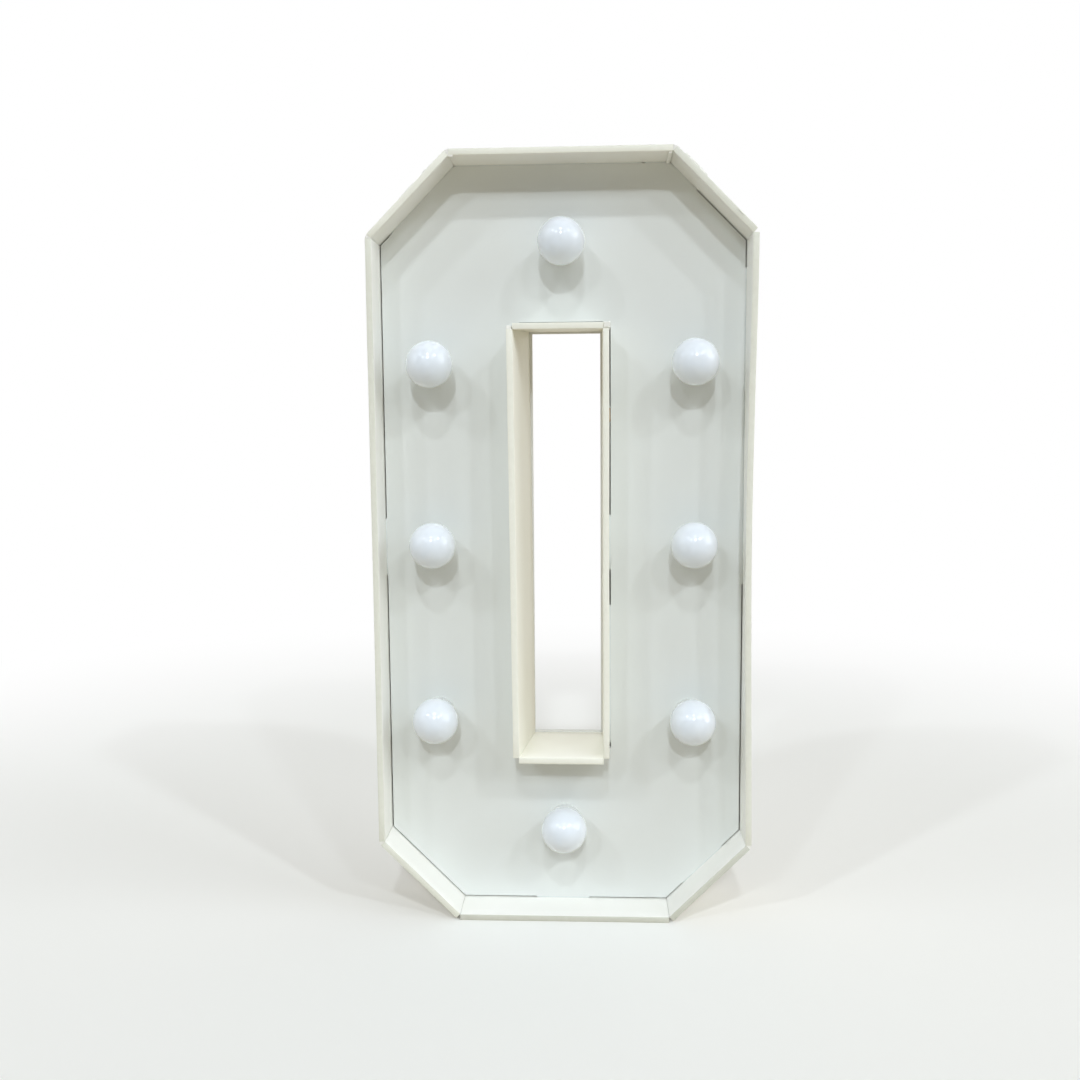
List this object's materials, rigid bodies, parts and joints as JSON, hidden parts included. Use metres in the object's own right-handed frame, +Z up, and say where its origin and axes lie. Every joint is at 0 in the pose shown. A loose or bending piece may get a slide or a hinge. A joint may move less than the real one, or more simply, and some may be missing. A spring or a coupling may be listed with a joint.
{
  "type": "light-up letter",
  "caption": "Free-standing light-up letter O: a white foam board box letter with clipped corners, a through slot and screw-in opal globe lamps on a recessed face.",
  "frame": {"origin": "middle of the flat underside that the letter stands on, half way through its depth", "axes": "+Z up, +Y to the back, +X to the right as seen from the lamp side"},
  "size_m": [0.493, 0.1442, 1],
  "materials": {
    "panel_board": "smooth white foamed PVC skin",
    "wall_board": "ivory foamed PVC with sawn edges",
    "cover_board": "smooth white foamed PVC skin",
    "filler": "white acrylic filler",
    "pine": "planed pine",
    "opal_globe": "opal polycarbonate",
    "lamp_base": "white moulded plastic",
    "lamp_cap": "nickel-plated screw cap",
    "brass": "stamped brass",
    "holder_plastic": "white moulded thermoset",
    "cable_sheath": "white PVC sheath",
    "wire_insulation": "brown PVC insulation",
    "switch_plastic": "black moulded nylon",
    "rocker_plastic": "black polished rocker",
    "nickel": "nickel-plated pins",
    "screw_steel": "zinc-plated steel"
  },
  "bodies": {
    "letter": {"face_panel": "panel_board", "top_wall": "wall_board", "upper_right_wall": "wall_board", "right_wall": "wall_board", "lower_right_wall": "wall_board", "bottom_wall": "wall_board", "lower_left_wall": "wall_board", "left_wall": "wall_board", "upper_left_wall": "wall_board", "slot_left_wall": "wall_board", "slot_right_wall": "wall_board", "slot_top_wall": "wall_board", "slot_bottom_wall": "wall_board", "back_cover": "cover_board", "battens": "pine", "corner_filler": "filler", "cover_screws": "screw_steel", "lamp_holders": "holder_plastic", "holder_rings": "holder_plastic", "holder_shells": "brass", "holder_clamps": "holder_plastic", "supply_cable": "cable_sheath", "link_wires": "wire_insulation", "switch_housing": "switch_plastic", "switch_tabs": "brass", "inlet_housing": "switch_plastic", "inlet_pins": "nickel"},
    "contact_1": {"contact_1": "brass"},
    "lamp_1": {"lamp_1_globe": "opal_globe", "lamp_1_base": "lamp_base", "lamp_1_cap": "lamp_cap"},
    "contact_2": {"contact_2": "brass"},
    "lamp_2": {"lamp_2_globe": "opal_globe", "lamp_2_base": "lamp_base", "lamp_2_cap": "lamp_cap"},
    "contact_3": {"contact_3": "brass"},
    "lamp_3": {"lamp_3_globe": "opal_globe", "lamp_3_base": "lamp_base", "lamp_3_cap": "lamp_cap"},
    "contact_4": {"contact_4": "brass"},
    "lamp_4": {"lamp_4_globe": "opal_globe", "lamp_4_base": "lamp_base", "lamp_4_cap": "lamp_cap"},
    "contact_5": {"contact_5": "brass"},
    "lamp_5": {"lamp_5_globe": "opal_globe", "lamp_5_base": "lamp_base", "lamp_5_cap": "lamp_cap"},
    "contact_6": {"contact_6": "brass"},
    "lamp_6": {"lamp_6_globe": "opal_globe", "lamp_6_base": "lamp_base", "lamp_6_cap": "lamp_cap"},
    "contact_7": {"contact_7": "brass"},
    "lamp_7": {"lamp_7_globe": "opal_globe", "lamp_7_base": "lamp_base", "lamp_7_cap": "lamp_cap"},
    "contact_8": {"contact_8": "brass"},
    "lamp_8": {"lamp_8_globe": "opal_globe", "lamp_8_base": "lamp_base", "lamp_8_cap": "lamp_cap"},
    "rocker": {"switch_rocker": "rocker_plastic"}
  },
  "joints": [
    {"name": "lamp_1_travel", "type": "slide", "parent": "letter", "child": "contact_1", "axis": [0, -1, 0], "range_m": [0, 0.00272]},
    {"name": "lamp_1_turn", "type": "hinge", "parent": "contact_1", "child": "lamp_1", "pos_m": [0, -0.0075, 0.888], "axis": [0, -1, 0], "range_deg": [0, 270]},
    {"name": "lamp_2_travel", "type": "slide", "parent": "letter", "child": "contact_2", "axis": [0, -1, 0], "range_m": [0, 0.00272]},
    {"name": "lamp_2_turn", "type": "hinge", "parent": "contact_2", "child": "lamp_2", "pos_m": [0.17, -0.0075, 0.736], "axis": [0, -1, 0], "range_deg": [0, 270]},
    {"name": "lamp_3_travel", "type": "slide", "parent": "letter", "child": "contact_3", "axis": [0, -1, 0], "range_m": [0, 0.00272]},
    {"name": "lamp_3_turn", "type": "hinge", "parent": "contact_3", "child": "lamp_3", "pos_m": [0.17, -0.0075, 0.502], "axis": [0, -1, 0], "range_deg": [0, 270]},
    {"name": "lamp_4_travel", "type": "slide", "parent": "letter", "child": "contact_4", "axis": [0, -1, 0], "range_m": [0, 0.00272]},
    {"name": "lamp_4_turn", "type": "hinge", "parent": "contact_4", "child": "lamp_4", "pos_m": [0.17, -0.0075, 0.268], "axis": [0, -1, 0], "range_deg": [0, 270]},
    {"name": "lamp_5_travel", "type": "slide", "parent": "letter", "child": "contact_5", "axis": [0, -1, 0], "range_m": [0, 0.00272]},
    {"name": "lamp_5_turn", "type": "hinge", "parent": "contact_5", "child": "lamp_5", "pos_m": [0, -0.0075, 0.12], "axis": [0, -1, 0], "range_deg": [0, 270]},
    {"name": "lamp_6_travel", "type": "slide", "parent": "letter", "child": "contact_6", "axis": [0, -1, 0], "range_m": [0, 0.00272]},
    {"name": "lamp_6_turn", "type": "hinge", "parent": "contact_6", "child": "lamp_6", "pos_m": [-0.17, -0.0075, 0.268], "axis": [0, -1, 0], "range_deg": [0, 270]},
    {"name": "lamp_7_travel", "type": "slide", "parent": "letter", "child": "contact_7", "axis": [0, -1, 0], "range_m": [0, 0.00272]},
    {"name": "lamp_7_turn", "type": "hinge", "parent": "contact_7", "child": "lamp_7", "pos_m": [-0.17, -0.0075, 0.502], "axis": [0, -1, 0], "range_deg": [0, 270]},
    {"name": "lamp_8_travel", "type": "slide", "parent": "letter", "child": "contact_8", "axis": [0, -1, 0], "range_m": [0, 0.00272]},
    {"name": "lamp_8_turn", "type": "hinge", "parent": "contact_8", "child": "lamp_8", "pos_m": [-0.17, -0.0075, 0.736], "axis": [0, -1, 0], "range_deg": [0, 270]},
    {"name": "switch_rocker_tilt", "type": "hinge", "parent": "letter", "child": "rocker", "pos_m": [-0.1, 0.0625, 0.12], "axis": [1, 0, 0], "range_deg": [0, 16]}
  ],
  "couplings": [
    {"joint": "lamp_1_turn", "follows": "lamp_1_travel", "rad_per_m": 1731.4},
    {"joint": "lamp_2_turn", "follows": "lamp_2_travel", "rad_per_m": 1731.4},
    {"joint": "lamp_3_turn", "follows": "lamp_3_travel", "rad_per_m": 1731.4},
    {"joint": "lamp_4_turn", "follows": "lamp_4_travel", "rad_per_m": 1731.4},
    {"joint": "lamp_5_turn", "follows": "lamp_5_travel", "rad_per_m": 1731.4},
    {"joint": "lamp_6_turn", "follows": "lamp_6_travel", "rad_per_m": 1731.4},
    {"joint": "lamp_7_turn", "follows": "lamp_7_travel", "rad_per_m": 1731.4},
    {"joint": "lamp_8_turn", "follows": "lamp_8_travel", "rad_per_m": 1731.4}
  ]
}
